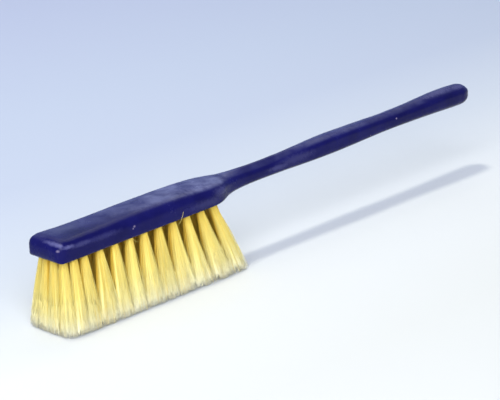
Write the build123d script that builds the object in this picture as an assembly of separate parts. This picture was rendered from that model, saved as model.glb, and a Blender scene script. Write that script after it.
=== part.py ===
# Hand brush for brushing bees off a comb: a one-piece painted wooden stock
# (flat bristle block running into a long handle) with staple-set bristle tufts.
#
# Frame, millimetres: +Z up, +X along the handle away from the bristle block,
# +Y across the block. Z = 0 is the flat trim plane of the bristle tips, on
# which the brush stands. X = 0, Y = 0 is the middle of the overall box.
#
# Each tuft is a bundle folded over a flat wire staple that is driven into a
# blind hole in the block's underside. The outer tufts follow the outline of
# the block; the two inner rows sit half a pitch out of step between them.
from build123d import *
import math
import os

os.makedirs("parts", exist_ok=True)

# ---------------------------------------------------------------- sizes ----
TRIM = 58.0                # free bristle length, trim plane to the block
SPLAY_Z = 56.8             # the bundles start to spread here, just clear of their holes
BLOCK_FRONT_X = -249.6     # front end of the block
PLAN_R = 7.0               # front corners seen from above
FRONT_TOP_Z = 72.1         # top of the front end before it is rounded
END_TOP_R = 7.0            # rounding over the top of the front end
END_LOW_R = 4.5            # rounding under the front end
HANDLE_TIP_X = 250.0       # far end of the handle

HOLE_D = 6.4               # blind tuft holes
HOLE_DEPTH = 9.4
TUFT_D = 6.2               # bundle where it leaves its hole
ROOT_LEN = 9.0             # length of bundle inside the hole
STAPLE_H = 1.7             # flat wire staple: height along the hole
STAPLE_T = 0.45            # thickness
STAPLE_BITE = 0.55         # how far each end cuts into the wood
STAPLE_Z = TRIM + 6.0      # bottom edge of the staples
STAPLE_TURN = 35.0         # staples lie at this angle to the block

SIDE_Y = 14.2              # outer rows, from the middle
SIDE_FIRST = (-86.5, 12.9) # tuft next to the handle, where the block narrows
SIDE_SECOND_X = -100.9
SIDE_PITCH = 15.2
SIDE_COUNT = 10
INNER_Y = 4.9              # inner rows, from the middle
INNER_FIRST_X = -78.6
INNER_PITCH = 15.15
INNER_COUNT = 11
FRONT_TUFTS = [(-232.4, 14.2), (-239.4, 10.9), (-241.9, 3.9)]

TIP_FRONT_X = -250.6       # outline of the splayed tips on the trim plane
TIP_BACK_X = -56.5
TIP_HALF_Y = 27.0
TIP_CORNER_R = 10.0
TIP_GAP = 0.45             # gap left between neighbouring tufts at the tips
TIP_SQUARE = 9.0           # how square the tip of a tuft is

# Stock stations: x, half width, underside z, top z, lower edge radius,
# upper edge radius, crown of the top, crown of the underside.
STATIONS = [
    (-240.0, 19.75, 57.1, 73.82, 2.6, 6.6, 0.45, 0),
    (-224.0, 19.6, 57.25, 73.77, 2.6, 7.2, 0.45, 0),
    (-208.0, 19.35, 57.4, 73.97, 2.6, 7.6, 0.45, 0),
    (-190.0, 19.15, 57.57, 74.47, 2.6, 7.8, 0.45, 0),
    (-168.0, 19, 57.77, 75.16, 2.6, 8, 0.45, 0),
    (-148.0, 19, 57.96, 75.65, 2.6, 8, 0.45, 0),
    (-130.0, 19, 58.13, 75.92, 2.6, 8, 0.45, 0),
    (-116.0, 19, 58.26, 75.98, 2.6, 8, 0.5, 0),
    (-106.0, 19, 58.35, 75.97, 2.6, 8, 0.5, 0),
    (-98.0, 19, 58.43, 75.84, 2.6, 8, 0.55, 0),
    (-91.0, 18.9, 58.49, 75.60, 2.6, 7.8, 0.6, 0),
    (-85.0, 18.3, 58.5, 75.41, 2.6, 7.4, 0.6, 0),
    (-80.0, 17.6, 58.5, 75.23, 2.8, 7, 0.6, 0.05),
    (-75.0, 16.1, 58.55, 75.09, 3.2, 6.6, 0.6, 0.1),
    (-70.0, 14, 58.65, 75.06, 3.6, 6.2, 0.6, 0.18),
    (-64.0, 11.7, 58.9, 75.01, 4.6, 6.1, 0.6, 0.25),
    (-56.0, 9.9, 59.18, 75.22, 5.2, 6.2, 0.6, 0.3),
    (-46.0, 8.8, 59.41, 75.35, 5.6, 6.3, 0.6, 0.35),
    (-33.0, 8.3, 59.62, 75.37, 5.8, 6.4, 0.6, 0.4),
    (-16.0, 8.1, 59.83, 75.5, 5.8, 6.3, 0.6, 0.4),
    (4.0, 8.1, 59.89, 75.9, 5.8, 6, 0.6, 0.4),
    (26.0, 8.2, 59.91, 76.71, 5.6, 5.4, 0.6, 0.4),
    (48.0, 8.7, 60.15, 77.47, 5.5, 4.8, 0.6, 0.4),
    (70.0, 9, 60.65, 77.83, 5.5, 4.5, 0.6, 0.4),
    (92.0, 9.1, 61.4, 77.89, 5.5, 4.5, 0.6, 0.45),
    (114.0, 9, 62.29, 77.99, 5.6, 4.8, 0.6, 0.45),
    (136.0, 8.9, 62.92, 78.29, 5.7, 5.4, 0.6, 0.45),
    (156.0, 9.1, 63.14, 79.01, 5.9, 5.9, 0.6, 0.45),
    (174.0, 9.6, 63.29, 79.87, 6.2, 6.4, 0.6, 0.45),
    (190.0, 10.1, 63.34, 80.72, 6.5, 6.8, 0.6, 0.45),
    (204.0, 10.5, 63.24, 81.53, 6.7, 7.1, 0.6, 0.45),
    (216.0, 10.7, 63.04, 82.01, 6.8, 7.2, 0.6, 0.45),
    (227.0, 10.7, 62.9, 82.03, 6.8, 7.2, 0.6, 0.45),
    (235.0, 10.5, 62.84, 81.84, 6.8, 7.2, 0.6, 0.45),
]

FLAT_N, CORNER_N, WALL_N = 5, 5, 2   # spans along each part of a section
LOFT_STEP = 8.0            # spacing of the sections that carry the stock's skin


def bezier(p0, p1, p2, p3, n):
    out = []
    for i in range(n):
        t = i / n
        w = ((1 - t) ** 3, 3 * t * (1 - t) ** 2, 3 * t * t * (1 - t), t**3)
        out.append(tuple(sum(c * p[k] for c, p in zip(w, (p0, p1, p2, p3))) for k in (0, 1)))
    return out


def half_ring(a, z_low, z_top, r_low, r_top, c_top, c_low):
    """Right half of a section, from the middle of the underside to the top."""
    k = 0.5523
    f_low, f_top = a - r_low, a - r_top
    pts = []
    for i in range(FLAT_N):
        y = f_low * i / FLAT_N
        pts.append((y, z_low + c_low * (y / f_low) ** 2))
    zl, zt = z_low + c_low, z_top - c_top
    sl, st = 2 * c_low / f_low, 2 * c_top / f_top
    pts += bezier((f_low, zl), (f_low + k * r_low, zl + k * r_low * sl), (a, zl + r_low * (1 - k)), (a, zl + r_low), CORNER_N)
    z0, z1 = zl + r_low, zt - r_top
    pts += [(a, z0 + (z1 - z0) * i / WALL_N) for i in range(WALL_N)]
    pts += bezier((a, z1), (a, z1 + k * r_top), (f_top + k * r_top, zt - k * r_top * st), (f_top, zt), CORNER_N)
    for i in range(FLAT_N):
        y = f_top * (1 - i / FLAT_N)
        pts.append((y, z_top - c_top * (y / f_top) ** 2))
    pts.append((0.0, z_top))
    return pts


def ring(spec):
    right = half_ring(*spec)
    return right + [(-y, z) for y, z in reversed(right[1:-1])]


def share_of_length(pts):
    d = [math.dist(pts[i], pts[(i + 1) % len(pts)]) for i in range(len(pts))]
    return [v / sum(d) for v in d]


def common_parameters():
    """One set of curve parameters, so every section runs at the same pace."""
    block, grip = share_of_length(ring(STATIONS[5][1:])), share_of_length(ring(STATIONS[20][1:]))
    par = [0.0]
    for p, q in zip(block, grip):
        par.append(par[-1] + (p + q) / 2)
    return [v / par[-1] for v in par]


PAR = common_parameters()


def section(spec):
    pts = [Vector(spec[0], y, z) for y, z in ring(spec[1:])]
    return Wire([Edge.make_spline(pts, periodic=True, parameters=PAR)])


def front_sections():
    """The rounded front end, from its small flat out to the full section."""
    x0, a0, zl, zt, rl, rt, ct, cl = STATIONS[0]
    run = x0 - BLOCK_FRONT_X
    out = []
    for k in range(11):
        phi = math.pi / 2 * k / 10
        d = run * (1 - math.cos(phi))
        a = a0 - PLAN_R * (1 - math.sin(phi))
        up = END_TOP_R - math.sqrt(END_TOP_R**2 - max(0.0, END_TOP_R - d) ** 2)
        low = END_LOW_R - math.sqrt(END_LOW_R**2 - max(0.0, END_LOW_R - d) ** 2)
        fade = 0.45 + 0.55 * min(1.0, d / rt)
        slope = (zt - FRONT_TOP_Z) * d / run + FRONT_TOP_Z
        out.append((BLOCK_FRONT_X + d, a, zl + low * 0.9, slope - up * 0.9, rl * fade, rt * fade, ct * fade, cl))
    return out


def tip_sections():
    """The rounded far end of the handle."""
    x0, a0, zl, zt, rl, rt, ct, cl = STATIONS[-1]
    zc, run = (zl + zt) / 2, HANDLE_TIP_X - x0
    out = []
    for k in range(0, 13):
        phi = math.pi / 2 * k / 12
        s = math.sin(phi)
        fy = max(math.cos(phi) ** 0.80, 0.20)
        fz = max(math.cos(phi) ** 0.78, 0.20)
        h = (zt - zl) / 2 * fz
        m = zc + 0.5 * s * s
        f = min(fy, fz)
        out.append((x0 + run * s, a0 * fy, m - h, m + h, rl * f, rt * f, ct * f, cl * f))
    return out


def slopes(xs, ys):
    """Monotone cubic slopes, so the stations are joined without overshoot."""
    h = [xs[i + 1] - xs[i] for i in range(len(xs) - 1)]
    d = [(ys[i + 1] - ys[i]) / h[i] for i in range(len(h))]
    m = [0.0] * len(xs)
    for i in range(1, len(xs) - 1):
        if d[i - 1] * d[i] > 0:
            w1, w2 = 2 * h[i] + h[i - 1], h[i] + 2 * h[i - 1]
            m[i] = (w1 + w2) / (w1 / d[i - 1] + w2 / d[i])
    return m


def even_stations():
    """The station table, read again at even steps along the stock."""
    xs = [s[0] for s in STATIONS]
    columns = [[s[k] for s in STATIONS] for k in range(1, 8)]
    ms = [slopes(xs, c) for c in columns]
    steps = round((xs[-1] - xs[0]) / LOFT_STEP)
    out = []
    for k in range(steps + 1):
        x = xs[0] + (xs[-1] - xs[0]) * k / steps
        i = max(j for j in range(len(xs) - 1) if xs[j] <= x + 1e-9)
        h, t = xs[i + 1] - xs[i], (x - xs[i]) / (xs[i + 1] - xs[i])
        row = [x]
        for c, m in zip(columns, ms):
            row.append(
                c[i] * (1 + 2 * t) * (1 - t) ** 2 + c[i + 1] * t * t * (3 - 2 * t)
                + h * m[i] * t * (1 - t) ** 2 - h * m[i + 1] * t * t * (1 - t)
            )
        out.append(tuple(row))
    return out


def make_stock():
    front = Solid.make_loft([section(s) for s in front_sections()])
    middle = Solid.make_loft([section(s) for s in even_stations()])
    back = Solid.make_loft([section(s) for s in tip_sections()])
    return front.fuse(middle).fuse(back)


# --------------------------------------------------------------- layout ----
def tuft_layout():
    """name -> root centre (x, y) on the underside of the block."""
    spots = {}
    for side, sign in (("near", -1), ("far", 1)):
        for i in range(SIDE_COUNT):
            x, y = SIDE_FIRST if i == 0 else (SIDE_SECOND_X - SIDE_PITCH * (i - 1), SIDE_Y)
            spots[f"tuft_{side}_{i + 1:02d}"] = (x, sign * y)
        for i in range(INNER_COUNT):
            spots[f"tuft_inner_{side}_{i + 1:02d}"] = (INNER_FIRST_X - INNER_PITCH * i, sign * INNER_Y)
        for i, (x, y) in enumerate(FRONT_TUFTS):
            spots[f"tuft_front_{side}_{i + 1:02d}"] = (x, sign * y)
    return spots


def tip_centre(x, y):
    """Where the middle of a tuft lands on the trim plane."""
    u = max(0.0, min(1.0, (x + 182.0) / 95.5))
    lean = 20.5 * u**2.2 - 0.95 * max(0.0, x + 86.5)
    v = max(0.0, min(1.0, (-205.0 - x) / 37.0))
    lean -= 2.8 * v**1.3
    return x + lean, y * (1.46 if abs(y) > 8 else 1.38)


def outline_planes():
    """Half planes (normal angle, point) round the outline of the tips."""
    planes = []
    for qx, qy, start in (
        (TIP_BACK_X - TIP_CORNER_R, TIP_HALF_Y - TIP_CORNER_R, 0),
        (TIP_FRONT_X + TIP_CORNER_R, TIP_HALF_Y - TIP_CORNER_R, 90),
        (TIP_FRONT_X + TIP_CORNER_R, -TIP_HALF_Y + TIP_CORNER_R, 180),
        (TIP_BACK_X - TIP_CORNER_R, -TIP_HALF_Y + TIP_CORNER_R, 270),
    ):
        for k in range(7):
            ang = math.radians(start + 15 * k)
            planes.append((ang, qx + TIP_CORNER_R * math.cos(ang), qy + TIP_CORNER_R * math.sin(ang)))
    return planes


SPOTS = tuft_layout()
TIPS = {name: tip_centre(*spot) for name, spot in SPOTS.items()}
OUTLINE = outline_planes()
TUFT_RING = 24


def tip_ring(name):
    """Rounded cell of the trim plane that belongs to one tuft."""
    cx, cy = TIPS[name]
    walls = [(a, (px - cx) * math.cos(a) + (py - cy) * math.sin(a)) for a, px, py in OUTLINE]
    for other, (ox, oy) in TIPS.items():
        gap = math.dist((cx, cy), (ox, oy))
        if other != name and gap < 40:
            walls.append((math.atan2(oy - cy, ox - cx), gap / 2 - TIP_GAP / 2))
    pts = []
    for i in range(TUFT_RING):
        t = 2 * math.pi * i / TUFT_RING
        gauge = sum(max(0.0, math.cos(t - a) / d) ** TIP_SQUARE for a, d in walls) ** (1 / TIP_SQUARE)
        r = min(1 / gauge, 9.6)
        pts.append((cx + r * math.cos(t), cy + r * math.sin(t)))
    return pts


def make_tuft(name, staple):
    """Bundle in its hole, then spreading in straight lines to the trim plane."""
    x, y = SPOTS[name]
    r = TUFT_D / 2
    par = [i / TUFT_RING for i in range(TUFT_RING + 1)]
    top = [Vector(x + r * math.cos(2 * math.pi * k), y + r * math.sin(2 * math.pi * k), SPLAY_Z) for k in par[:-1]]
    low = [Vector(px, py, 0.0) for px, py in tip_ring(name)]
    rings = [Wire([Edge.make_spline(p, periodic=True, parameters=par)]) for p in (low, top)]
    skirt = Solid.make_loft(rings, ruled=True)
    root = Solid.extrude(Face(rings[1]), Vector(0, 0, TRIM + ROOT_LEN - SPLAY_Z))
    return skirt.fuse(root).cut(staple)


def make_staple(name):
    x, y = SPOTS[name]
    turn = STAPLE_TURN if y < 0 else -STAPLE_TURN
    bar = Solid.make_box(HOLE_D + 2 * STAPLE_BITE, STAPLE_T, STAPLE_H)
    bar = bar.moved(Location((-HOLE_D / 2 - STAPLE_BITE, -STAPLE_T / 2, 0)))
    return bar.moved(Location((x, y, STAPLE_Z), (0, 0, turn)))


def make_hole(name):
    x, y = SPOTS[name]
    return Solid.make_cylinder(HOLE_D / 2, HOLE_DEPTH + 2, Plane((x, y, TRIM - 2)))


# ---------------------------------------------------------------- build ----
staples = {name: make_staple(name) for name in SPOTS}

stock = make_stock()
stock = stock.cut(*[make_hole(name) for name in SPOTS])
stock = stock.cut(*staples.values())
stock.label = "brush_stock"
export_step(stock, "parts/brush_stock.step")

for name in SPOTS:
    tuft = make_tuft(name, staples[name])
    tuft.label = name
    export_step(tuft, f"parts/{name}.step")

export_step(Compound(label="tuft_staples", children=list(staples.values())), "parts/tuft_staples.step")
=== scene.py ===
import math

import bmesh
import bpy
import numpy as np
from mathutils import Matrix, Vector, noise


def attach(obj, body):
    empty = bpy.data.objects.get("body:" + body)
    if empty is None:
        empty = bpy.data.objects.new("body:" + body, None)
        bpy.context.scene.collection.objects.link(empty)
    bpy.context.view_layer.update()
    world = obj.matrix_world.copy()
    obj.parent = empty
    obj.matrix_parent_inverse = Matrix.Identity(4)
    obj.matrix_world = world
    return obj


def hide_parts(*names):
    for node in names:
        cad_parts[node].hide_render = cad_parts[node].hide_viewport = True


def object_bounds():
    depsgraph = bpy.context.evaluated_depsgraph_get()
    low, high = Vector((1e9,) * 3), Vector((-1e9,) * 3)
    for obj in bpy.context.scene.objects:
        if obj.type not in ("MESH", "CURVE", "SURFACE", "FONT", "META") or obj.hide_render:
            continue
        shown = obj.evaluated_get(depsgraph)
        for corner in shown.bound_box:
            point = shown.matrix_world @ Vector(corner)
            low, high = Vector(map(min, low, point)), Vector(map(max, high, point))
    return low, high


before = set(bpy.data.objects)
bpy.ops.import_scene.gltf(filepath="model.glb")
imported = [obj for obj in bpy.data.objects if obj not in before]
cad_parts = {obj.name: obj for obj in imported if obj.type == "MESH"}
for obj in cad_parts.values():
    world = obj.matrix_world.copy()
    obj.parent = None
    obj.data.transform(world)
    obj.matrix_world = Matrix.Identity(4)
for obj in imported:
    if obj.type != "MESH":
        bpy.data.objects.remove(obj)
CAD_LO, CAD_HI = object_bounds()
MM = 0.001


# ------------------------------------------------------------------ camera --
def make_camera():
    az, el, roll = math.radians(45.664), math.radians(18.977), math.radians(-1.973)
    right = Vector((math.cos(az), -math.sin(az), 0))
    ahead = Vector((math.sin(az), math.cos(az), 0))
    fwd = ahead * math.cos(el) + Vector((0, 0, -math.sin(el)))
    up = right.cross(fwd)
    r2 = right * math.cos(roll) + up * math.sin(roll)
    u2 = -right * math.sin(roll) + up * math.cos(roll)
    pos = Vector((-30.11, 0, 44.72)) * MM - fwd * 1.61828
    data = bpy.data.cameras.new("camera")
    data.sensor_width, data.lens = 36.0, 144.0
    data.clip_start, data.clip_end = 0.05, 60
    cam = bpy.data.objects.new("camera", data)
    cam.matrix_world = Matrix((
        (r2.x, u2.x, -fwd.x, pos.x),
        (r2.y, u2.y, -fwd.y, pos.y),
        (r2.z, u2.z, -fwd.z, pos.z),
        (0, 0, 0, 1),
    ))
    bpy.context.scene.collection.objects.link(cam)
    bpy.context.scene.camera = cam
    return ahead


AHEAD = make_camera()


# ------------------------------------------------------- node-graph helpers --
def material(name):
    m = bpy.data.materials.new(name)
    m.use_nodes = True
    nt = m.node_tree
    return m, nt, nt.nodes["Principled BSDF"]


def node(nt, kind, inputs=None, **props):
    n = nt.nodes.new(kind)
    for k, v in props.items():
        setattr(n, k, v)
    for k, v in (inputs or {}).items():
        if isinstance(v, bpy.types.NodeSocket):
            nt.links.new(v, n.inputs[k])
        else:
            n.inputs[k].default_value = v
    return n


def ramp(nt, fac, stops, interpolation="LINEAR"):
    n = nt.nodes.new("ShaderNodeValToRGB")
    n.color_ramp.interpolation = interpolation
    els = n.color_ramp.elements
    while len(els) < len(stops):
        els.new(0.5)
    for e, (p, c) in zip(els, stops):
        e.position = p
        e.color = (*c, 1) if len(c) == 3 else c
    nt.links.new(fac, n.inputs["Fac"])
    return n.outputs["Color"]


def grey(v):
    return (v, v, v)


def mix(nt, fac, a, b, kind="MIX"):
    n = nt.nodes.new("ShaderNodeMix")
    n.data_type, n.blend_type = "RGBA", kind
    for sock, v in ((n.inputs[0], fac), (n.inputs[6], a), (n.inputs[7], b)):
        if isinstance(v, bpy.types.NodeSocket):
            nt.links.new(v, sock)
        elif isinstance(v, (int, float)):
            sock.default_value = v
        else:
            sock.default_value = (*v, 1)
    return n.outputs[2]


def scaled_coords(nt, scale):
    tc = nt.nodes.new("ShaderNodeTexCoord")
    mp = node(nt, "ShaderNodeMapping", {"Vector": tc.outputs["Object"]})
    mp.inputs["Scale"].default_value = scale
    return mp.outputs["Vector"]


# ---------------------------------------------------------------- materials --
def spot(nt, p, rag, centre, size, strength, ragged=0.9):
    """Soft ragged patch about a point of the object, all in millimetres: wear, chips, and painted edge highlights."""
    off = node(nt, "ShaderNodeVectorMath", {0: p, 1: centre}, operation="SUBTRACT")
    off = node(nt, "ShaderNodeVectorMath", {0: off.outputs["Vector"], 1: size}, operation="DIVIDE")
    d = node(nt, "ShaderNodeVectorMath", {0: off.outputs["Vector"]}, operation="LENGTH")
    d = node(nt, "ShaderNodeMath", {0: rag, 1: ragged * 2, 2: d.outputs["Value"]}, operation="MULTIPLY_ADD")
    return node(nt, "ShaderNodeMapRange", {"Value": d.outputs[0], "From Min": 1.75 + ragged, "From Max": 0.25 + ragged, "To Max": strength},
                interpolation_type="SMOOTHSTEP").outputs["Result"]


def most(nt, masks):
    top = masks[0]
    for other in masks[1:]:
        top = node(nt, "ShaderNodeMath", {0: top, 1: other}, operation="MAXIMUM").outputs[0]
    return top


def paint_material():
    """Thick glossy dark blue-violet dip paint, with runs, dust, chips and rubbed places, a painted reflection on what
    faces up and painted highlights along the top edges.
    """
    m, nt, bsdf = material("paint")
    p = scaled_coords(nt, (1000, 1000, 1000))   # millimetres
    broad = node(nt, "ShaderNodeTexNoise", {"Vector": p, "Scale": 0.035, "Detail": 3.0, "Roughness": 0.55})
    fine = node(nt, "ShaderNodeTexNoise", {"Vector": p, "Scale": 0.45, "Detail": 4.0, "Roughness": 0.6})
    rag = node(nt, "ShaderNodeTexNoise", {"Vector": p, "Scale": 0.42, "Detail": 4.0, "Roughness": 0.75}).outputs["Fac"]
    colour = ramp(nt, broad.outputs["Fac"], [(0.30, (0.0038, 0.0036, 0.056)), (0.52, (0.0050, 0.0048, 0.075)), (0.72, (0.0070, 0.0070, 0.095))])
    dust = ramp(nt, fine.outputs["Fac"], [(0.56, grey(0.0)), (0.80, grey(0.10))])
    colour = mix(nt, dust, colour, (0.060, 0.060, 0.135))
    # painted reflection: a thin, patchy pale sheet laid on what faces up, standing for the pale backdrop mirrored in
    # the top
    up = node(nt, "ShaderNodeSeparateXYZ", {"Vector": nt.nodes.new("ShaderNodeNewGeometry").outputs["Normal"]}).outputs["Z"]
    up = node(nt, "ShaderNodeMapRange", {"Value": up, "From Min": 0.70, "From Max": 0.995}, interpolation_type="SMOOTHSTEP").outputs["Result"]
    cloud = node(nt, "ShaderNodeTexNoise", {"Vector": p, "Scale": 0.055, "Detail": 5.0, "Roughness": 0.62, "Distortion": 0.4})
    painted_sheen = ramp(nt, cloud.outputs["Fac"], [(0.34, grey(0.10)), (0.66, grey(0.85))])
    painted_sheen = node(nt, "ShaderNodeMath", {0: painted_sheen, 1: up}, operation="MULTIPLY").outputs[0]
    along = node(nt, "ShaderNodeSeparateXYZ", {"Vector": p}).outputs["X"]
    along = node(nt, "ShaderNodeMapRange", {"Value": along, "From Min": -250.0, "From Max": 250.0}).outputs["Result"]
    # how strong the painted reflection is along the length
    painted_sheen_along = ramp(nt, along, [(0.0, grey(0.24)), (0.11, grey(0.28)), (0.20, grey(0.62)), (0.30, grey(1.0)), (0.36, grey(0.90)), (0.42, grey(0.2)), (0.62, grey(0.40)), (0.80, grey(0.20)), (1.0, grey(0.25))])
    painted_sheen = mix(nt, 1.0, painted_sheen, painted_sheen_along, "MULTIPLY")
    # the painted reflection fades out towards the near edge, and more so towards the toe
    across = node(nt, "ShaderNodeSeparateXYZ", {"Vector": p})
    edge = node(nt, "ShaderNodeMapRange", {"Value": across.outputs["X"], "From Min": -250.0, "From Max": -95.0, "To Min": 3.0, "To Max": -17.0}).outputs["Result"]
    edge = node(nt, "ShaderNodeMath", {0: rag, 1: -9.0, 2: edge}, operation="MULTIPLY_ADD").outputs[0]
    side = node(nt, "ShaderNodeMath", {0: across.outputs["Y"], 1: edge}, operation="SUBTRACT").outputs[0]
    side = node(nt, "ShaderNodeMapRange", {"Value": side, "From Min": -2.0, "From Max": 9.0}, interpolation_type="SMOOTHSTEP").outputs["Result"]
    painted_sheen = mix(nt, 1.0, painted_sheen, side, "MULTIPLY")
    # lays on the pale lavender of the painted reflection
    colour = mix(nt, painted_sheen, colour, (0.158, 0.172, 0.335))
    # rubbed and bruised places, partly painted highlight: the streaks along the front and near top edges stand for a
    # lamp's highlight on the rounded edge as well as rubbed paint
    rubs_and_highlights = most(nt, [spot(nt, p, rag, *a) for a in (
        ((-245.6, -10.5, 71.0), (1.8, 9.8, 1.3), 0.70), ((-240.0, -18.8, 69.4), (5.0, 2.3, 1.1), 0.55),
        ((-226.0, -19.6, 68.6), (11.0, 1.5, 1.6), 0.26), ((-204.0, -19.4, 68.4), (14.0, 1.5, 2.0), 0.17),
        ((-79.0, -17.0, 69.0), (8.0, 4.0, 3.4), 0.24), ((-96.0, -18.8, 64.0), (16.0, 1.8, 2.6), 0.15),
        ((-4.0, -8.2, 67.4), (10.0, 3.0, 1.8), 0.26), ((18.0, -8.0, 69.6), (18.0, 3.0, 3.2), 0.16),
        ((205.0, -3.0, 81.2), (20.0, 3.6, 1.9), 0.26), ((234.0, -4.5, 80.6), (7.0, 3.4, 1.5), 0.34),
        ((150.0, 4.0, 78.5), (18.0, 3.0, 1.9), 0.24))])
    # mixes in the pale lavender of the rubbed places and painted edge highlights
    colour = mix(nt, rubs_and_highlights, colour, (0.140, 0.142, 0.330))
    # worn-through chips: a few, each under a millimetre or so
    cells = node(nt, "ShaderNodeTexVoronoi", {"Vector": p, "Scale": 0.062, "Randomness": 1.0}, feature="F1")
    wob = node(nt, "ShaderNodeTexNoise", {"Vector": p, "Scale": 1.6, "Detail": 3.0})
    jag = node(nt, "ShaderNodeMath", {0: wob.outputs["Fac"], 1: 0.055}, operation="MULTIPLY")
    dist = node(nt, "ShaderNodeMath", {0: cells.outputs["Distance"], 1: jag.outputs[0]}, operation="ADD")
    chip = ramp(nt, dist.outputs[0], [(0.046, grey(0.8)), (0.064, grey(0.0))])
    lot = ramp(nt, node(nt, "ShaderNodeSeparateColor", {"Color": cells.outputs["Color"]}).outputs[0], [(0.80, grey(0.0)), (0.82, grey(1.0))])
    chip = mix(nt, 1.0, chip, lot, "MULTIPLY")
    chip = most(nt, [chip] + [spot(nt, p, rag, *a) for a in (
        ((-247.9, -15.8, 67.6), (1.1, 1.1, 0.8), 0.5, 0.5), ((-174.5, -19.0, 67.0), (0.9, 0.9, 0.7), 0.55, 0.5),
        ((-175.9, -19.1, 65.6), (0.6, 0.9, 0.6), 0.5, 0.5), ((144.6, -8.8, 73.4), (0.7, 0.8, 0.6), 0.7, 0.4))])
    colour = mix(nt, chip, colour, (0.36, 0.30, 0.44))
    nt.links.new(colour, bsdf.inputs["Base Color"])
    # gloss that is duller where the paint is dusty or rubbed, and on the painted edge highlights
    rough = ramp(nt, broad.outputs["Fac"], [(0.32, grey(0.17)), (0.55, grey(0.23)), (0.75, grey(0.31))])
    rough = mix(nt, dust, rough, (0.60, 0.60, 0.60))
    rough = mix(nt, rubs_and_highlights, rough, (0.55, 0.55, 0.55))
    rough = mix(nt, chip, rough, (0.75, 0.75, 0.75))
    nt.links.new(rough, bsdf.inputs["Roughness"])
    bsdf.inputs["IOR"].default_value = 1.5
    bsdf.inputs["Specular IOR Level"].default_value = 0.11
    skin = node(nt, "ShaderNodeTexNoise", {"Vector": p, "Scale": 0.16, "Detail": 2.0, "Roughness": 0.5})
    grain = node(nt, "ShaderNodeTexNoise", {"Vector": scaled_coords(nt, (120, 1400, 1400)), "Scale": 0.6, "Detail": 4.0, "Roughness": 0.6})
    b1 = node(nt, "ShaderNodeBump", {"Height": skin.outputs["Fac"], "Distance": 0.00035, "Strength": 0.55})
    b2 = node(nt, "ShaderNodeBump", {"Height": grain.outputs["Fac"], "Distance": 0.00008, "Strength": 0.35, "Normal": b1.outputs["Normal"]})
    b3 = node(nt, "ShaderNodeBump", {"Height": chip, "Distance": 0.00015, "Strength": 0.8, "Normal": b2.outputs["Normal"]}, invert=True)
    nt.links.new(b3.outputs["Normal"], bsdf.inputs["Normal"])
    return m


def bristle_material():
    """Filament: golden at the root, pale in the run, cream where the tip is flagged; the deeper golden at the root is
    partly painted shade.
    """
    m, nt, bsdf = material("bristle")
    att = node(nt, "ShaderNodeAttribute", attribute_name="strand")
    sep = node(nt, "ShaderNodeSeparateColor", {"Color": att.outputs["Color"]})
    along, own, lock = sep.outputs[0], sep.outputs[1], sep.outputs[2]
    # deeper golden towards the root: partly the fibre's own colour, partly painted shade of the crowded root and gaps
    base = ramp(nt, along, [
        (0.00, (0.84, 0.63, 0.10)), (0.15, (0.93, 0.76, 0.19)), (0.50, (0.96, 0.84, 0.28)),
        (0.76, (0.975, 0.895, 0.43)), (0.90, (0.985, 0.945, 0.64)), (1.00, (0.985, 0.965, 0.80))])
    # painted shade: where the second channel is low, in the tuft pockets and inner tufts, the colour is darkened and
    # warmed to golden brown
    pocket_shade_tint = ramp(nt, own, [(0.0, (0.86, 0.62, 0.10)), (0.25, (0.95, 0.82, 0.42)), (0.5, (1.0, 1.0, 1.0)), (1.0, (1.0, 1.0, 1.0))])
    base = mix(nt, 0.9, base, pocket_shade_tint, "MULTIPLY")
    tint = ramp(nt, lock, [(0.0, (0.95, 0.91, 0.82)), (1.0, (1.0, 1.0, 1.0))])
    base = mix(nt, 0.8, base, tint, "MULTIPLY")
    streak = node(nt, "ShaderNodeTexNoise", {"Vector": scaled_coords(nt, (900, 900, 60)), "Scale": 0.9, "Detail": 2.0})
    shade = ramp(nt, streak.outputs["Fac"], [(0.3, grey(0.94)), (0.7, grey(1.0))])
    base = mix(nt, 1.0, base, shade, "MULTIPLY")
    nt.links.new(base, bsdf.inputs["Base Color"])
    rough = ramp(nt, along, [(0.0, grey(0.42)), (0.8, grey(0.48)), (1.0, grey(0.70))])
    nt.links.new(rough, bsdf.inputs["Roughness"])
    bsdf.inputs["IOR"].default_value = 1.48
    bsdf.inputs["Specular IOR Level"].default_value = 0.35
    return m


def staple_material():
    m, nt, bsdf = material("staple_wire")
    p = scaled_coords(nt, (300, 4000, 4000))
    draw = node(nt, "ShaderNodeTexNoise", {"Vector": p, "Scale": 1.0, "Detail": 3.0})
    nt.links.new(ramp(nt, draw.outputs["Fac"], [(0.3, (0.42, 0.41, 0.40)), (0.7, (0.60, 0.60, 0.61))]), bsdf.inputs["Base Color"])
    nt.links.new(ramp(nt, draw.outputs["Fac"], [(0.3, grey(0.28)), (0.7, grey(0.42))]), bsdf.inputs["Roughness"])
    bsdf.inputs["Metallic"].default_value = 1.0
    bump = node(nt, "ShaderNodeBump", {"Height": draw.outputs["Fac"], "Distance": 0.00003, "Strength": 0.4})
    nt.links.new(bump.outputs["Normal"], bsdf.inputs["Normal"])
    return m


PAINT, BRISTLE, WIRE = paint_material(), bristle_material(), staple_material()


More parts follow.
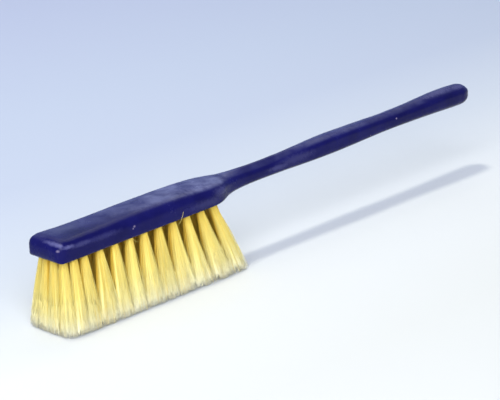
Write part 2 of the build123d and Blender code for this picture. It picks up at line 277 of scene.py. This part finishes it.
# ----------------------------------------------- the stock, in millimetres --
PLAN_R, FRONT_X, TIP_X, TRIM, SPLAY_Z = 7.0, -249.6, 250.0, 58.0, 56.8
END_TOP_R, END_LOW_R, FRONT_TOP_Z = 7.0, 4.5, 72.1
STATIONS = np.array([
    (-240.0, 19.75, 57.1, 73.82, 2.6, 6.6, 0.45, 0),
    (-224.0, 19.6, 57.25, 73.77, 2.6, 7.2, 0.45, 0),
    (-208.0, 19.35, 57.4, 73.97, 2.6, 7.6, 0.45, 0),
    (-190.0, 19.15, 57.57, 74.47, 2.6, 7.8, 0.45, 0),
    (-168.0, 19, 57.77, 75.16, 2.6, 8, 0.45, 0),
    (-148.0, 19, 57.96, 75.65, 2.6, 8, 0.45, 0),
    (-130.0, 19, 58.13, 75.92, 2.6, 8, 0.45, 0),
    (-116.0, 19, 58.26, 75.98, 2.6, 8, 0.5, 0),
    (-106.0, 19, 58.35, 75.97, 2.6, 8, 0.5, 0),
    (-98.0, 19, 58.43, 75.84, 2.6, 8, 0.55, 0),
    (-91.0, 18.9, 58.49, 75.60, 2.6, 7.8, 0.6, 0),
    (-85.0, 18.3, 58.5, 75.41, 2.6, 7.4, 0.6, 0),
    (-80.0, 17.6, 58.5, 75.23, 2.8, 7, 0.6, 0.05),
    (-75.0, 16.1, 58.55, 75.09, 3.2, 6.6, 0.6, 0.1),
    (-70.0, 14, 58.65, 75.06, 3.6, 6.2, 0.6, 0.18),
    (-64.0, 11.7, 58.9, 75.01, 4.6, 6.1, 0.6, 0.25),
    (-56.0, 9.9, 59.18, 75.22, 5.2, 6.2, 0.6, 0.3),
    (-46.0, 8.8, 59.41, 75.35, 5.6, 6.3, 0.6, 0.35),
    (-33.0, 8.3, 59.62, 75.37, 5.8, 6.4, 0.6, 0.4),
    (-16.0, 8.1, 59.83, 75.5, 5.8, 6.3, 0.6, 0.4),
    (4.0, 8.1, 59.89, 75.9, 5.8, 6, 0.6, 0.4),
    (26.0, 8.2, 59.91, 76.71, 5.6, 5.4, 0.6, 0.4),
    (48.0, 8.7, 60.15, 77.47, 5.5, 4.8, 0.6, 0.4),
    (70.0, 9, 60.65, 77.83, 5.5, 4.5, 0.6, 0.4),
    (92.0, 9.1, 61.4, 77.89, 5.5, 4.5, 0.6, 0.45),
    (114.0, 9, 62.29, 77.99, 5.6, 4.8, 0.6, 0.45),
    (136.0, 8.9, 62.92, 78.29, 5.7, 5.4, 0.6, 0.45),
    (156.0, 9.1, 63.14, 79.01, 5.9, 5.9, 0.6, 0.45),
    (174.0, 9.6, 63.29, 79.87, 6.2, 6.4, 0.6, 0.45),
    (190.0, 10.1, 63.34, 80.72, 6.5, 6.8, 0.6, 0.45),
    (204.0, 10.5, 63.24, 81.53, 6.7, 7.1, 0.6, 0.45),
    (216.0, 10.7, 63.04, 82.01, 6.8, 7.2, 0.6, 0.45),
    (227.0, 10.7, 62.9, 82.03, 6.8, 7.2, 0.6, 0.45),
    (235.0, 10.5, 62.84, 81.84, 6.8, 7.2, 0.6, 0.45),
])


def slopes(xs, ys):
    h = np.diff(xs)
    d = np.diff(ys) / h
    m = np.zeros(len(xs))
    for i in range(1, len(xs) - 1):
        if d[i - 1] * d[i] > 0:
            w1, w2 = 2 * h[i] + h[i - 1], h[i] + 2 * h[i - 1]
            m[i] = (w1 + w2) / (w1 / d[i - 1] + w2 / d[i])
    return m


def stations_at(xq):
    xs = STATIONS[:, 0]
    i = np.clip(np.searchsorted(xs, xq, side="right") - 1, 0, len(xs) - 2)
    h = xs[i + 1] - xs[i]
    t = (xq - xs[i]) / h
    out = [xq]
    for k in range(1, 8):
        c, m = STATIONS[:, k], slopes(xs, STATIONS[:, k])
        out.append(c[i] * (1 + 2 * t) * (1 - t) ** 2 + c[i + 1] * t * t * (3 - 2 * t) + h * m[i] * t * (1 - t) ** 2 - h * m[i + 1] * t * t * (1 - t))
    return np.stack(out, 1)


def front_specs(n):
    x0, a0, zl, zt, rl, rt, ct, cl = STATIONS[0]
    run, out = x0 - FRONT_X, []
    for k in range(n):
        phi = math.pi / 2 * k / n
        d = run * (1 - math.cos(phi))
        a = a0 - PLAN_R * (1 - math.sin(phi))
        up = END_TOP_R - math.sqrt(END_TOP_R**2 - max(0.0, END_TOP_R - d) ** 2)
        low = END_LOW_R - math.sqrt(END_LOW_R**2 - max(0.0, END_LOW_R - d) ** 2)
        fade = 0.45 + 0.55 * min(1.0, d / rt)
        slope = (zt - FRONT_TOP_Z) * d / run + FRONT_TOP_Z
        out.append((FRONT_X + d, a, zl + low * 0.9, slope - up * 0.9, rl * fade, rt * fade, ct * fade, cl))
    return out


def tip_specs(n):
    x0, a0, zl, zt, rl, rt, ct, cl = STATIONS[-1]
    zc, run, out = (zl + zt) / 2, TIP_X - x0, []
    for k in range(1, n + 1):
        phi = math.pi / 2 * k / n
        s = math.sin(phi)
        fy, fz = max(math.cos(phi) ** 0.80, 0.20), max(math.cos(phi) ** 0.78, 0.20)
        h, mz, f = (zt - zl) / 2 * fz, zc + 0.5 * s * s, min(fy, fz)
        out.append((x0 + run * s, a0 * fy, mz - h, mz + h, rl * f, rt * f, ct * f, cl * f))
    return out


def bezier(p, n):
    t = (np.arange(n) / n)[:, None]
    p = np.array(p)
    return (1 - t) ** 3 * p[0] + 3 * t * (1 - t) ** 2 * p[1] + 3 * t * t * (1 - t) * p[2] + t**3 * p[3]


def ring(spec, flat=13, corner=9, wall=5):
    """One section as (y, z) points, starting under the middle."""
    a, zlow, ztop, rl, rt, ct, cl = spec[1:]
    k, fl, ft = 0.5523, spec[1] - spec[4], spec[1] - spec[5]
    y = fl * np.arange(flat) / flat
    pts = [np.stack([y, zlow + cl * (y / fl) ** 2], 1)]
    zl, zt = zlow + cl, ztop - ct
    pts.append(bezier([(fl, zl), (fl + k * rl, zl + k * rl * 2 * cl / fl), (a, zl + rl * (1 - k)), (a, zl + rl)], corner))
    z0, z1 = zl + rl, zt - rt
    pts.append(np.stack([np.full(wall, a), z0 + (z1 - z0) * np.arange(wall) / wall], 1))
    pts.append(bezier([(a, z1), (a, z1 + k * rt), (ft + k * rt, zt - k * rt * 2 * ct / ft), (ft, zt)], corner))
    y = ft * (1 - np.arange(flat) / flat)
    pts.append(np.stack([y, ztop - ct * (y / ft) ** 2], 1))
    right = np.concatenate(pts + [np.array([[0.0, ztop]])])
    left = right[1:-1][::-1] * np.array([-1, 1])
    return np.concatenate([right, left])


def stock_mesh():
    body = stations_at(np.linspace(STATIONS[0, 0], STATIONS[-1, 0], 316))
    specs = front_specs(16) + [tuple(s) for s in body] + tip_specs(22)
    rings = [np.column_stack([np.full(len(r), s[0]), r]) for s in specs for r in [ring(s)]]
    n = len(rings[0])
    # close both ends with shrinking rings
    def close(r, push):
        c = r.mean(0)
        return [c + (r - c) * f + np.array([push * (1 - f * f), 0, 0]) for f in (0.86, 0.68, 0.48, 0.27, 0.10)]
    rings = close(rings[0], -0.25)[::-1] + rings + close(rings[-1], 0.15)
    v = np.concatenate(rings)
    m = len(rings)
    faces = [(i * n + j, i * n + (j + 1) % n, (i + 1) * n + (j + 1) % n, (i + 1) * n + j) for i in range(m - 1) for j in range(n)]
    a, b = len(v), len(v) + 1
    v = np.concatenate([v, [rings[0].mean(0)], [rings[-1].mean(0)]])
    faces += [(a, (j + 1) % n, j) for j in range(n)]
    faces += [(b, (m - 1) * n + j, (m - 1) * n + (j + 1) % n) for j in range(n)]
    mesh = bpy.data.meshes.new("stock")
    mesh.from_pydata((v * MM).tolist(), [], faces)
    mesh.update()
    return mesh


def paint_lumps(mesh):
    """The slow waves, sags and small blobs that dip paint dries with."""
    mesh.update()
    co = np.zeros(len(mesh.vertices) * 3)
    no = np.zeros(len(mesh.vertices) * 3)
    mesh.vertices.foreach_get("co", co)
    mesh.vertex_normals.foreach_get("vector", no)
    co, no = co.reshape(-1, 3), no.reshape(-1, 3)
    out = co.copy()
    for i, (p, n) in enumerate(zip(co, no)):
        q = Vector(p / MM)
        w = 0.17 * noise.noise(q / 23.0 + Vector((3.1, 0, 7))) + 0.085 * noise.noise(q / 9.5 + Vector((0, 5.2, 1)))
        w += 0.10 * max(0.0, noise.noise(Vector((q.x / 15.0, q.y / 8.0, q.z / 8.0))) - 0.22)
        under = 1.0 if n[2] > -0.7 else 0.25
        out[i] = p + n * (w - 0.03) * under * MM
    mesh.vertices.foreach_set("co", out.ravel())
    mesh.update()


def cutter_mesh(spots):
    """All tuft holes as one mesh: blind, with a rim softened by the paint."""
    prof = [(3.80, 57.2), (3.78, 57.86), (3.45, 58.12), (3.27, 58.45), (3.2, 59.0), (3.2, 67.2), (2.2, 67.4)]
    seg, verts, faces = 32, [], []
    for x, y in spots:
        base, dz = len(verts), float(np.interp(x, STATIONS[:, 0], STATIONS[:, 2])) - TRIM
        for r, z in prof:
            z += dz if z < 60 else 0.0
            for j in range(seg):
                t = 2 * math.pi * (j + 0.37) / seg
                verts.append((x + r * math.cos(t), y + r * math.sin(t), z))
        for i in range(len(prof) - 1):
            for j in range(seg):
                a, b = base + i * seg + j, base + i * seg + (j + 1) % seg
                faces.append((a, b, b + seg, a + seg))
        faces.append(tuple(base + j for j in reversed(range(seg))))
        faces.append(tuple(base + (len(prof) - 1) * seg + j for j in range(seg)))
    mesh = bpy.data.meshes.new("holes")
    mesh.from_pydata([(x * MM, y * MM, z * MM) for x, y, z in verts], [], faces)
    mesh.update()
    return mesh


# ------------------------------------------------------------ tuft layout ---
TIP_BACK_X, TIP_FRONT_X, TIP_HALF_Y, TIP_CORNER_R, TIP_GAP, TIP_SQUARE = -56.5, -250.6, 27.0, 10.0, 0.45, 9.0


def tuft_layout():
    spots = {}
    for side, sign in (("near", -1), ("far", 1)):
        for i in range(10):
            x, y = (-86.5, 12.9) if i == 0 else (-100.9 - 15.2 * (i - 1), 14.2)
            spots[f"tuft_{side}_{i + 1:02d}"] = (x, sign * y)
        for i in range(11):
            spots[f"tuft_inner_{side}_{i + 1:02d}"] = (-78.6 - 15.15 * i, sign * 4.9)
        for i, (x, y) in enumerate([(-232.4, 14.2), (-239.4, 10.9), (-241.9, 3.9)]):
            spots[f"tuft_front_{side}_{i + 1:02d}"] = (x, sign * y)
    return spots


def tip_centre(x, y):
    u = max(0.0, min(1.0, (x + 182.0) / 95.5))
    v = max(0.0, min(1.0, (-205.0 - x) / 37.0))
    return x + 20.5 * u**2.2 - 0.95 * max(0.0, x + 86.5) - 2.8 * v**1.3, y * (1.46 if abs(y) > 8 else 1.38)


SPOTS = tuft_layout()
TIPS = {n: tip_centre(*s) for n, s in SPOTS.items()}
OUTLINE = []
for qx, qy, start in ((TIP_BACK_X - TIP_CORNER_R, TIP_HALF_Y - TIP_CORNER_R, 0), (TIP_FRONT_X + TIP_CORNER_R, TIP_HALF_Y - TIP_CORNER_R, 90),
                      (TIP_FRONT_X + TIP_CORNER_R, -TIP_HALF_Y + TIP_CORNER_R, 180), (TIP_BACK_X - TIP_CORNER_R, -TIP_HALF_Y + TIP_CORNER_R, 270)):
    for k in range(7):
        ang = math.radians(start + 15 * k)
        OUTLINE.append((ang, qx + TIP_CORNER_R * math.cos(ang), qy + TIP_CORNER_R * math.sin(ang)))


def cell_radius(name, theta, past=1.0, inset=1.0):
    """Reach of a tuft's cell of the trim plane in each direction from its middle."""
    cx, cy = TIPS[name]
    g = np.zeros_like(theta)
    walls = [(a, inset * ((px - cx) * math.cos(a) + (py - cy) * math.sin(a))) for a, px, py in OUTLINE]
    for other, (ox, oy) in TIPS.items():
        gap = math.dist((cx, cy), (ox, oy))
        if other != name and gap < 40:
            walls.append((math.atan2(oy - cy, ox - cx), past * (gap / 2 - TIP_GAP / 2)))
    for a, d in walls:
        g += np.maximum(0.0, np.cos(theta - a) / d) ** TIP_SQUARE
    return np.minimum(g ** (-1 / TIP_SQUARE), 9.6 * past)


# ----------------------------------------------------------------- bristles --
STRANDS, EASE = 250, 1.10
CLIP_LO = np.array([CAD_LO.x, CAD_LO.y]) / MM + 0.25
CLIP_HI = np.array([CAD_HI.x, CAD_HI.y]) / MM - 0.25


def tubes(paths, radii, strand, sides):
    """Closed thin tubes: paths (n, k, 3), radii (n, k), strand colours (n, k, 3), all in mm."""
    n, k, _ = paths.shape
    tan = np.gradient(paths, axis=1)
    tan /= np.linalg.norm(tan, axis=2, keepdims=True) + 1e-9
    ref = np.broadcast_to(np.array([0.83, 0.55, 0.07]), tan.shape)
    u = np.cross(tan, ref)
    u /= np.linalg.norm(u, axis=2, keepdims=True) + 1e-9
    w = np.cross(tan, u)
    ang = 2 * np.pi * np.arange(sides) / sides
    v = paths[:, :, None] + radii[:, :, None, None] * (np.cos(ang)[:, None] * u[:, :, None] + np.sin(ang)[:, None] * w[:, :, None])
    v = v.reshape(-1, 3)
    idx = np.arange(n * k * sides).reshape(n, k, sides)
    a, b = idx[:, :-1], np.roll(idx[:, :-1], -1, axis=2)
    c, d = np.roll(idx[:, 1:], -1, axis=2), idx[:, 1:]
    quads = np.stack([a, b, c, d], -1).reshape(-1, 4)
    caps = [idx[:, 0, ::-1], idx[:, -1]]
    return v, quads, caps, np.repeat(strand.reshape(-1, 3), sides, axis=0)


def soft_clip(xy):
    """Ease points that stray past the brush's own outline back inside it."""
    lo, hi, m = CLIP_LO, CLIP_HI, 1.2
    over, under = np.maximum(0, xy - (hi - m)), np.maximum(0, (lo + m) - xy)
    return xy - over + m * np.tanh(over / m) + under - m * np.tanh(under / m)


def painted_pocket_shade(name, theta, run):
    """Painted shade: low in the pockets where the tufts face one another, and over most of the length of the inner
    tufts, so the colour there is darkened and warmed.
    """
    x0, y0 = SPOTS[name]
    out = np.array([0.0, np.sign(y0)]) if "front" not in name else np.array([-0.8, 0.6 * np.sign(y0)])
    face = out[0] * np.cos(theta) + out[1] * np.sin(theta)
    deep = np.clip((0.62 - face) / 0.9, 0, 1) * np.clip((0.92 - run) / 0.55, 0, 1)
    if "inner" in name:
        deep = np.maximum(deep, np.clip((0.95 - run) / 0.5, 0, 1))
    return 1 - 0.80 * deep


def tuft_piece(name, seed):
    rng = np.random.default_rng(seed)
    x0, y0 = SPOTS[name]
    cx, cy = TIPS[name]
    n = STRANDS
    # even spread over the round root, shaken a little
    k = np.arange(n) + 0.5
    rho = np.sqrt(k / n)
    th = k * 2.399963 + rng.normal(0, 0.08, n)
    rho = np.clip(rho + rng.normal(0, 0.02, n), 0, 1.0)
    # locks: groups of strands that lie together
    locks = 9
    lock = ((th % (2 * np.pi)) / (2 * np.pi) * 7).astype(int) % 7
    lock[rho < 0.42] = 7 + (rng.random((rho < 0.42).sum()) > 0.5)
    lock_shift = rng.normal(0, 0.50, (locks, 2))
    lock_tone = rng.random(locks)
    lock_len = rng.normal(0, 0.55, locks)
    root = np.stack([x0 + 2.88 * rho * np.cos(th), y0 + 2.88 * rho * np.sin(th)], 1)
    reach = cell_radius(name, th, 1.17, 0.985)
    spread = rho * rng.normal(1.0, 0.06, n)
    tip = np.stack([cx + reach * spread * np.cos(th), cy + reach * spread * np.sin(th)], 1)
    tip += lock_shift[lock] + rng.normal(0, 0.55, (n, 2))
    wild = rng.random(n) < 0.035
    tip[wild] += rng.normal(0, 2.0, (wild.sum(), 2))
    tip = soft_clip(tip)
    end_z = 0.22 + np.abs(rng.normal(0, 0.45, n)) + np.maximum(0, lock_len[lock] + 0.20)
    end_z[rng.random(n) < 0.05] += rng.uniform(1.0, 4.0)
    # a strand leaves its hole upright, then runs nearly straight with its own bow
    z_top = 64.0
    split = rng.uniform(0.60, 0.93, n)[:, None]
    s = np.array([0.0, 0.10, 0.17, 0.36, 0.58, 0.80, 1.0])[None, :] * split
    bow = rng.normal(0, 0.50, (n, 2)) + rng.normal(0, 0.25, (1, 2))

    def course(z):
        run = np.clip((TRIM - z) / (TRIM - end_z[:, None]), 0, 1)
        mid = np.array([x0, y0]) + (np.array([cx, cy]) - np.array([x0, y0])) * run[:, :, None]
        off0 = (root - np.array([x0, y0]))[:, None]
        off1 = (tip - np.array([cx, cy]))[:, None]
        ease = run ** EASE
        xy = mid + off0 + (off1 - off0) * ease[:, :, None] + bow[:, None] * np.sin(np.pi * run)[:, :, None]
        return np.concatenate([xy, z[:, :, None]], 2), run

    z = z_top + (end_z[:, None] - z_top) * s
    main, run = course(z)
    own = 0.30 + 0.70 * rng.random(n)
    tone = np.clip(lock_tone[lock] + rng.normal(0, 0.14, n), 0, 1)

    def shade(run):
        # the second channel is each strand's own random tone times the painted pocket shade
        return np.stack([run, own[:, None] * painted_pocket_shade(name, th[:, None], run), np.broadcast_to(tone[:, None], run.shape)], 2)

    r0 = 0.176 * rng.uniform(0.86, 1.12, n)[:, None]
    parts = [tubes(main, np.broadcast_to(r0, z.shape), shade(run), 4)]
    # flagged ends: from its own height down, each strand is split into finer ones
    q = np.array([-0.06, 0.28, 0.62, 1.0])[None, :]
    s = split + (1 - split) * q
    for f in range(3):
        trim = rng.uniform(0.0, 0.5, n)[:, None]
        z = z_top + (end_z[:, None] + trim - z_top) * s
        path, run = course(z)
        fan = rng.normal(0, 1.0, (n, 2))
        path[:, :, :2] += fan[:, None] * (0.95 * np.clip(q, 0, 1) ** 1.2 * (0.35 + (1 - split) * 2.0))[:, :, None]
        path[:, :, :2] = soft_clip(path[:, :, :2])
        rr = r0 * np.array([[0.74, 0.70, 0.60, 0.30]])
        parts.append(tubes(path, rr, shade(run), 3))
    return parts


def tuft_heart(name, seed, turns=40, levels=16, fill=0.84):
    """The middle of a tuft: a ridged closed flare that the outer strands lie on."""
    rng = np.random.default_rng(seed + 5000)
    x0, y0 = SPOTS[name]
    cx, cy = TIPS[name]
    th = 2 * np.pi * np.arange(turns) / turns
    ridge = sum(rng.uniform(0.5, 1.0) * a * np.sin(f * th + rng.uniform(0, 6.28)) for f, a in ((5, 0.030), (9, 0.030), (14, 0.026)))
    ridge += rng.normal(0, 0.012, turns)
    last = rng.uniform(0.90, 0.985, turns)
    run = np.linspace(0, 1, levels)[:, None] * last[None, :]
    z = TRIM + 1.5 + (0.3 - TRIM - 1.5) * run
    reach = cell_radius(name, th, 1.17, 0.985)
    out = (2.75 + (reach - 2.75)[None, :] * run ** EASE) * fill * (1 + ridge[None, :] * (0.5 + run))
    x = x0 + (cx - x0) * run + out * np.cos(th)
    y = y0 + (cy - y0) * run + out * np.sin(th)
    xy = soft_clip(np.stack([x, y], -1).reshape(-1, 2)).reshape(levels, turns, 2)
    v = np.concatenate([xy, z[:, :, None]], 2)
    # hollow foot, so the strand ends stand proud of it all round
    foot = [v[-1] + (v[-1].mean(0) - v[-1]) * f + np.array([0, 0, 7.0 * f]) for f in (0.12, 0.45, 0.8)]
    v = np.concatenate([v, np.stack(foot)])
    k, n = len(v), turns
    idx = np.arange(k * n).reshape(k, n)
    quads = np.stack([idx[:-1], np.roll(idx[:-1], -1, 1), np.roll(idx[1:], -1, 1), idx[1:]], -1).reshape(-1, 4)[:, ::-1]
    ends = np.stack([v[0].mean(0), v[-1].mean(0)])
    caps = [np.stack([np.roll(idx[0], -1), idx[0], np.full(n, k * n)], 1)[:, ::-1], np.stack([idx[-1], np.roll(idx[-1], -1), np.full(n, k * n + 1)], 1)[:, ::-1]]
    own = np.repeat(0.45 + 0.5 * rng.random(turns)[None, :], k, 0)
    tone = np.repeat(np.clip(0.55 + 8 * ridge, 0, 1)[None, :], k, 0)
    along = np.concatenate([run, np.repeat(run[-1:], k - levels, 0)])
    # painted pocket shade on the core as well
    own *= painted_pocket_shade(name, th[None, :], along)
    c = np.stack([along, own, tone], -1).reshape(-1, 3)
    return np.concatenate([v.reshape(-1, 3), ends]), quads, caps, np.concatenate([c, c[:1], c[-1:]])


def stray(name):
    """Odd hairs that have sprung out of line and curl up over the edge of the stock."""
    routes = {
        "tuft_near_04": [[(-131.0, -17.0, 52.0), (-129.4, -18.8, 55.2), (-127.4, -20.0, 58.0), (-125.7, -19.9, 60.6), (-124.4, -19.6, 62.6), (-123.5, -19.45, 64.6)]],
        "tuft_near_07": [[(-176.4, -16.0, 59.5), (-175.6, -18.2, 56.8), (-174.4, -19.4, 55.2), (-173.2, -19.8, 54.4), (-172.0, -19.6, 54.6)]],
    }
    out = []
    for route in routes.get(name, []):
        path = np.array(route, float)
        t = np.linspace(0, len(path) - 1, 25)
        i = np.clip(t.astype(int), 0, len(path) - 2)
        f = (t - i)[:, None]
        pad = np.concatenate([[2 * path[0] - path[1]], path, [2 * path[-1] - path[-2]]])
        a, b, c, d = pad[i], pad[i + 1], pad[i + 2], pad[i + 3]
        line = 0.5 * (2 * b + (c - a) * f + (2 * a - 5 * b + 4 * c - d) * f**2 + (3 * b - a - 3 * c + d) * f**3)
        tint = np.stack([np.linspace(0.05, 0.45, 25), np.full(25, 0.45), np.full(25, 0.9)], -1)
        out.append(tubes(line[None], np.linspace(0.14, 0.08, 25)[None], tint[None], 6))
    return out


def build_tuft(name, seed):
    verts, cols, faces, off = [], [], {3: [], 4: []}, 0
    for v, quads, caps, c in tuft_piece(name, seed) + [tuft_heart(name, seed)] + stray(name):
        verts.append(v)
        cols.append(c)
        faces[4].append(quads + off)
        for cap in caps:
            if cap.shape[1] > 4:
                cap = np.stack([cap[0][[0, j, j + 1]] for j in range(1, cap.shape[1] - 1)])
            faces[cap.shape[1]].append(cap + off)
        off += len(v)
    v, c = np.concatenate(verts), np.concatenate(cols)
    q, t = np.concatenate(faces[4]), np.concatenate(faces[3])
    mesh = bpy.data.meshes.new(name + "_strands")
    loops = np.concatenate([q.ravel(), t.ravel()])
    starts = np.concatenate([np.arange(len(q)) * 4, len(q) * 4 + np.arange(len(t)) * 3])
    totals = np.concatenate([np.full(len(q), 4), np.full(len(t), 3)])
    mesh.vertices.add(len(v))
    mesh.vertices.foreach_set("co", (v * MM).ravel())
    mesh.loops.add(len(loops))
    mesh.loops.foreach_set("vertex_index", loops.astype(np.int32))
    mesh.polygons.add(len(starts))
    mesh.polygons.foreach_set("loop_start", starts.astype(np.int32))
    mesh.polygons.foreach_set("loop_total", totals.astype(np.int32))
    mesh.update(calc_edges=True)
    mesh.polygons.foreach_set("use_smooth", np.ones(len(starts), bool))
    attr = mesh.color_attributes.new("strand", "FLOAT_COLOR", "POINT")
    attr.data.foreach_set("color", np.column_stack([c, np.ones(len(c))]).astype(np.float32).ravel())
    mesh.materials.append(BRISTLE)
    ob = bpy.data.objects.new("bristles_" + name[5:], mesh)
    bpy.context.scene.collection.objects.link(ob)
    return ob


for number, tuft in enumerate(SPOTS):
    piece = build_tuft(tuft, 400 + number)
    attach(piece, "root")
    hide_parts(tuft)


# --------------------------------------------------------------- the stock --
def build_stock():
    mesh = stock_mesh()
    paint_lumps(mesh)
    ob = bpy.data.objects.new("painted_stock", mesh)
    bpy.context.scene.collection.objects.link(ob)
    holes = bpy.data.objects.new("holes", cutter_mesh(SPOTS.values()))
    bpy.context.scene.collection.objects.link(holes)
    mod = ob.modifiers.new("drill", "BOOLEAN")
    mod.operation, mod.solver, mod.object = "DIFFERENCE", "EXACT", holes
    bpy.context.view_layer.update()
    dg = bpy.context.evaluated_depsgraph_get()
    cut = bpy.data.meshes.new_from_object(ob.evaluated_get(dg))
    ob.modifiers.clear()
    ob.data = cut
    bpy.data.objects.remove(holes)
    cut.polygons.foreach_set("use_smooth", np.ones(len(cut.polygons), bool))
    cut.set_sharp_from_angle(angle=math.radians(38))
    cut.materials.clear()
    cut.materials.append(PAINT)
    return ob


stock = build_stock()
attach(stock, "root")
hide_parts("brush_stock")

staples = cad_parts["tuft_staples"]
staples.data.materials.clear()
staples.data.materials.append(WIRE)


# ------------------------------------------------------- floor and lighting --
# painted light on the floor: lighter near the front, darker and bluer further back, standing in for the fall-off of the
# lamps
FLOOR_PAINTED_FALLOFF = [(0.00, (0.658, 0.671, 0.672)), (0.15, (0.695, 0.715, 0.734)), (0.32, (0.567, 0.611, 0.690)), (0.48, (0.497, 0.549, 0.673)), (0.65, (0.497, 0.555, 0.690)), (1.00, (0.499, 0.549, 0.717))]


def build_floor():
    mesh = bpy.data.meshes.new("floor")
    s = 9.0
    mesh.from_pydata([(-s, -s, 0), (s, -s, 0), (s, s, 0), (-s, s, 0)], [], [(0, 1, 2, 3)])
    ob = bpy.data.objects.new("floor", mesh)
    bpy.context.scene.collection.objects.link(ob)
    m, nt, bsdf = material("floor")
    tc = nt.nodes.new("ShaderNodeTexCoord")
    where = node(nt, "ShaderNodeSeparateXYZ", {"Vector": tc.outputs["Object"]})
    far = node(nt, "ShaderNodeMapRange", {"Value": where.outputs["Y"], "From Min": -0.20, "From Max": 0.80})
    nt.links.new(ramp(nt, far.outputs["Result"], FLOOR_PAINTED_FALLOFF), bsdf.inputs["Base Color"])
    bsdf.inputs["Roughness"].default_value = 0.85
    bsdf.inputs["Specular IOR Level"].default_value = 0.1
    mesh.materials.append(m)


def area_light(name, where, target, size, power, colour):
    data = bpy.data.lights.new(name, "AREA")
    data.shape, data.size, data.energy, data.color = "DISK", size, power, colour
    ob = bpy.data.objects.new(name, data)
    ob.location = where
    ob.rotation_euler = (Vector(target) - Vector(where)).to_track_quat("-Z", "Y").to_euler()
    bpy.context.scene.collection.objects.link(ob)


def build_light():
    world = bpy.data.worlds.new("world")
    world.use_nodes = True
    nt = world.node_tree
    tc = nt.nodes.new("ShaderNodeTexCoord")
    back = node(nt, "ShaderNodeVectorMath", {0: tc.outputs["Generated"], 1: (AHEAD.x, AHEAD.y, 0)}, operation="DOT_PRODUCT")
    back = node(nt, "ShaderNodeMapRange", {"Value": back.outputs["Value"], "From Min": -0.1, "From Max": 0.75}, interpolation_type="SMOOTHSTEP")
    high = node(nt, "ShaderNodeSeparateXYZ", {"Vector": tc.outputs["Generated"]})
    low = node(nt, "ShaderNodeMapRange", {"Value": high.outputs["Z"], "From Min": 0.52, "From Max": 0.33}, interpolation_type="SMOOTHSTEP")
    wall = node(nt, "ShaderNodeMath", {0: back.outputs["Result"], 1: low.outputs["Result"]}, operation="MULTIPLY")
    sky = ramp(nt, wall.outputs[0], [(0.0, (0.29, 0.33, 0.41)), (1.0, (0.40, 0.50, 0.88))])
    bg = nt.nodes["Background"]
    nt.links.new(sky, bg.inputs["Color"])
    bg.inputs["Strength"].default_value = 1.0
    bpy.context.scene.world = world
    aim = (-0.05, 0, 0.05)
    key = Vector((-0.10, 0.13, 1.0)).normalized() * 2.2
    area_light("key", Vector(aim) + key, aim, 0.30, 22, (1.0, 0.975, 0.80))
    front = Vector((-AHEAD.x, -AHEAD.y, 0.66)).normalized() * 2.7
    area_light("fill", Vector(aim) + front, aim, 2.5, 84, (0.985, 0.99, 1.0))
    rear = Vector((AHEAD.x, AHEAD.y, 1.25)).normalized() * 2.8
    area_light("rear", Vector(aim) + rear, aim, 2.2, 13, (0.97, 0.985, 1.0))


build_floor()
build_light()
bpy.context.scene.view_settings.view_transform = "Standard"
